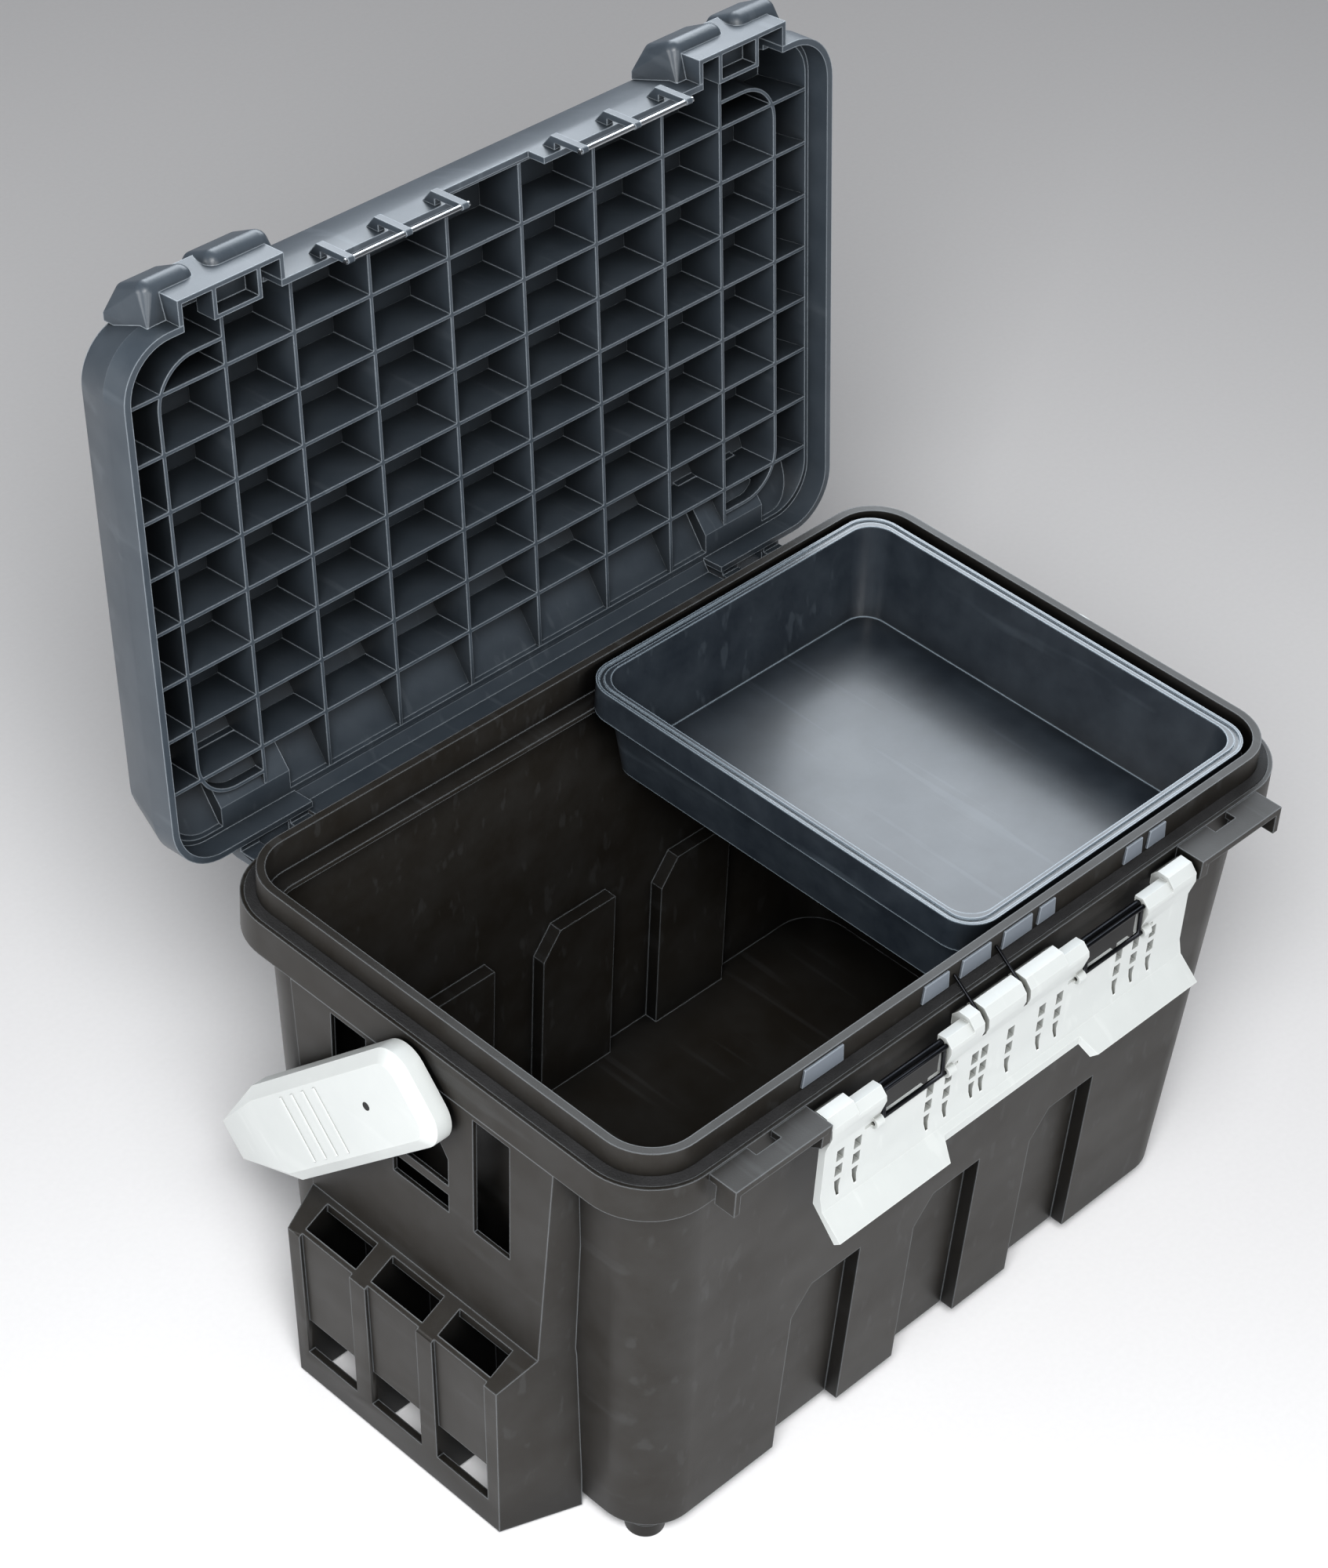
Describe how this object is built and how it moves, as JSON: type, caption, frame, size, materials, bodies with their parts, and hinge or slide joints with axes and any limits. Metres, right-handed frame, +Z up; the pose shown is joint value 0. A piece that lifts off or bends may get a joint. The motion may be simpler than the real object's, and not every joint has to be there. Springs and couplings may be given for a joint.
{
  "type": "toolbox with tray",
  "caption": "Deep lidded toolbox with a hinged ribbed lid, front draw latch, carrying bail, end-wall tool holders and a sliding lift-out tray.",
  "frame": {"origin": "on the floor, under the middle of the opened box's bounding box, 36.5 mm behind the middle of the tub's base", "axes": "+X to the box's right, +Y from the latch side to the hinge side, +Z up"},
  "size_m": [0.502, 0.4207, 0.5588],
  "materials": {
    "body_plastic": "fine matte texture",
    "lid_plastic": "satin",
    "tray_plastic": "glossy",
    "white_plastic": "satin",
    "seal_rubber": "matte",
    "bright_steel": "satin",
    "black_wire": "satin black"
  },
  "bodies": {
    "box": {"tub": "body_plastic", "rim_seal": "seal_rubber", "side_holder_left": "body_plastic", "side_holder_right": "body_plastic", "foot_pads": "body_plastic", "latch_bracket_left": "body_plastic", "latch_bracket_right": "body_plastic", "latch_axle": "black_wire", "axle_clips": "black_wire", "handle_pivot_left": "body_plastic", "handle_pivot_right": "body_plastic", "hinge_pin_left": "bright_steel", "hinge_pin_right": "bright_steel"},
    "lid": {"lid_shell": "lid_plastic", "lid_ribs": "lid_plastic", "lid_top_panel": "lid_plastic", "lid_lug_left": "lid_plastic", "lid_lug_right": "lid_plastic", "lid_hinge_left": "lid_plastic", "lid_hinge_right": "lid_plastic", "catch_hooks": "lid_plastic", "catch_rod_left": "bright_steel", "catch_rod_right": "bright_steel"},
    "latch": {"latch_plate": "white_plastic"},
    "link_left": {"catch_link_left": "black_wire"},
    "link_right": {"catch_link_right": "black_wire"},
    "handle": {"handle": "white_plastic"},
    "tray": {"tray": "tray_plastic"}
  },
  "joints": [
    {"name": "lid_hinge", "type": "hinge", "parent": "box", "child": "lid", "pos_m": [0, 0.1129, 0.2533], "axis": [-1, 0, 0], "range_deg": [-96, 0]},
    {"name": "latch_hinge", "type": "hinge", "parent": "box", "child": "latch", "pos_m": [0, -0.1915, 0.265], "axis": [-1, 0, 0], "range_deg": [0, 120]},
    {"name": "link_left_hinge", "type": "hinge", "parent": "latch", "child": "link_left", "pos_m": [-0.0725, -0.1959, 0.249], "axis": [1, 0, 0], "range_deg": [0, 60]},
    {"name": "link_right_hinge", "type": "hinge", "parent": "latch", "child": "link_right", "pos_m": [0.0725, -0.1959, 0.249], "axis": [1, 0, 0], "range_deg": [0, 60]},
    {"name": "handle_swing", "type": "hinge", "parent": "box", "child": "handle", "pos_m": [0, -0.0275, 0.2373], "axis": [1, 0, 0], "range_deg": [0, 42]},
    {"name": "tray_slide", "type": "slide", "parent": "box", "child": "tray", "axis": [1, 0, 0], "range_m": [-0.213, 0]}
  ]
}
